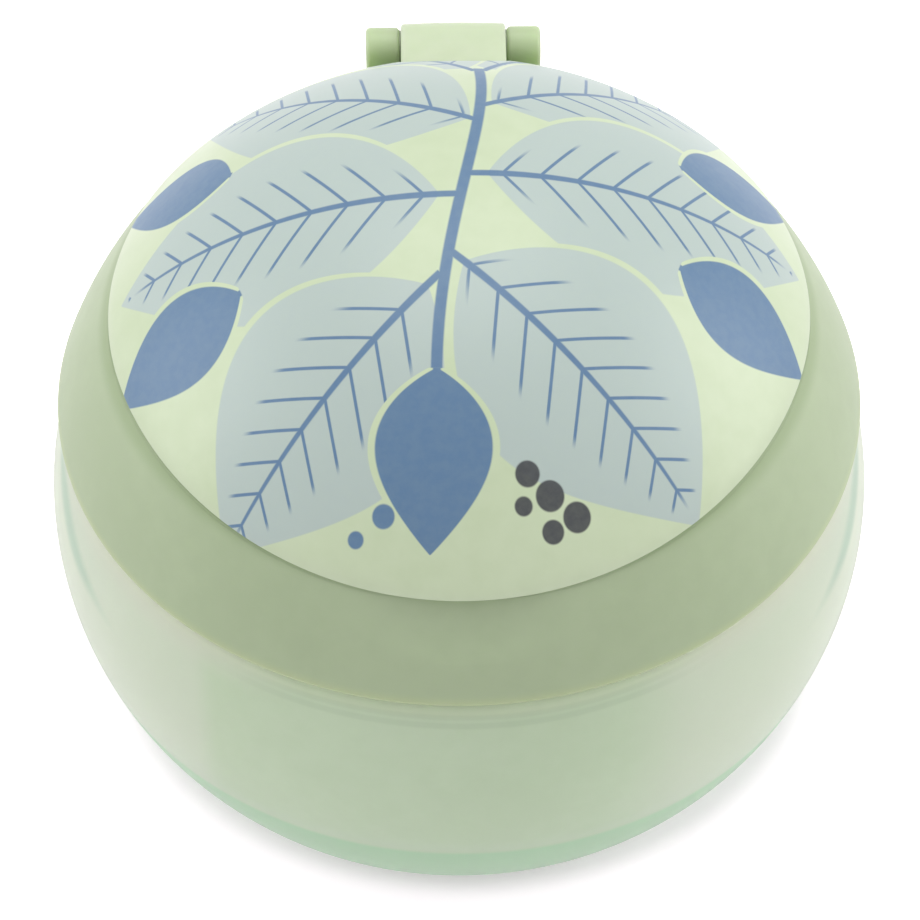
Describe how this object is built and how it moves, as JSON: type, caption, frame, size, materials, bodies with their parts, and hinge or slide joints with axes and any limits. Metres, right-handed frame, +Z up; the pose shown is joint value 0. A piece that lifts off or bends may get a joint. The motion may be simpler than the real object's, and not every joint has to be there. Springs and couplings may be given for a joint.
{
  "type": "toddler snack container",
  "caption": "Round frosted snack bowl for a toddler, with a screw collar, soft finger flaps and a domed flip lid on a pin hinge.",
  "frame": {"origin": "centre of the container at the table, under the bowl's foot ring", "axes": "+Z up along the container's axis, -Y towards the thumb lip at the front, +Y towards the hinge"},
  "size_m": [0.1064, 0.1064, 0.0884],
  "materials": {
    "bowl_plastic": "frosted, translucent, satin",
    "seal_silicone": "soft matte",
    "collar_plastic": "satin moulded",
    "flap_rubber": "soft matte",
    "retainer_plastic": "satin moulded",
    "pin_plastic": "satin moulded",
    "lid_plastic": "smooth gloss, printed film on top"
  },
  "bodies": {
    "bowl": {"bowl": "bowl_plastic"},
    "seal": {"neck_seal": "seal_silicone"},
    "collar": {"collar": "collar_plastic", "flap_ring": "flap_rubber", "insert_retainer": "retainer_plastic", "hinge_pin": "pin_plastic"},
    "lid": {"lid": "lid_plastic"},
    "flap_1": {"flap_1": "flap_rubber"},
    "flap_2": {"flap_2": "flap_rubber"},
    "flap_3": {"flap_3": "flap_rubber"},
    "flap_4": {"flap_4": "flap_rubber"},
    "flap_5": {"flap_5": "flap_rubber"},
    "flap_6": {"flap_6": "flap_rubber"}
  },
  "joints": [
    {"name": "collar_turn", "type": "hinge", "parent": "seal", "child": "collar", "pos_m": [0, 0, 0.0607], "axis": [0, 0, 1], "range_deg": [0, 300]},
    {"name": "collar_rise", "type": "slide", "parent": "bowl", "child": "seal", "axis": [0, 0, 1], "range_m": [0, 0.00751]},
    {"name": "lid_flip", "type": "hinge", "parent": "collar", "child": "lid", "pos_m": [0, 0.0489, 0.0651], "axis": [-1, 0, 0], "range_deg": [0, 150]},
    {"name": "flap_1_bend", "type": "hinge", "parent": "collar", "child": "flap_1", "pos_m": [0.02997, 0, 0.0612], "axis": [0, -1, 0], "range_deg": [-45, 60], "stiffness_Nm_per_rad": 0.008},
    {"name": "flap_2_bend", "type": "hinge", "parent": "collar", "child": "flap_2", "pos_m": [0.01499, 0.02596, 0.0612], "axis": [0.866, -0.5, 0], "range_deg": [-45, 60], "stiffness_Nm_per_rad": 0.008},
    {"name": "flap_3_bend", "type": "hinge", "parent": "collar", "child": "flap_3", "pos_m": [-0.01499, 0.02596, 0.0612], "axis": [0.866, 0.5, 0], "range_deg": [-45, 60], "stiffness_Nm_per_rad": 0.008},
    {"name": "flap_4_bend", "type": "hinge", "parent": "collar", "child": "flap_4", "pos_m": [-0.02997, 0, 0.0612], "axis": [0, 1, 0], "range_deg": [-45, 60], "stiffness_Nm_per_rad": 0.008},
    {"name": "flap_5_bend", "type": "hinge", "parent": "collar", "child": "flap_5", "pos_m": [-0.01499, -0.02596, 0.0612], "axis": [-0.866, 0.5, 0], "range_deg": [-45, 60], "stiffness_Nm_per_rad": 0.008},
    {"name": "flap_6_bend", "type": "hinge", "parent": "collar", "child": "flap_6", "pos_m": [0.01499, -0.02596, 0.0612], "axis": [-0.866, -0.5, 0], "range_deg": [-45, 60], "stiffness_Nm_per_rad": 0.008}
  ],
  "couplings": [
    {"joint": "collar_rise", "follows": "collar_turn", "m_per_rad": 0.0014324}
  ]
}
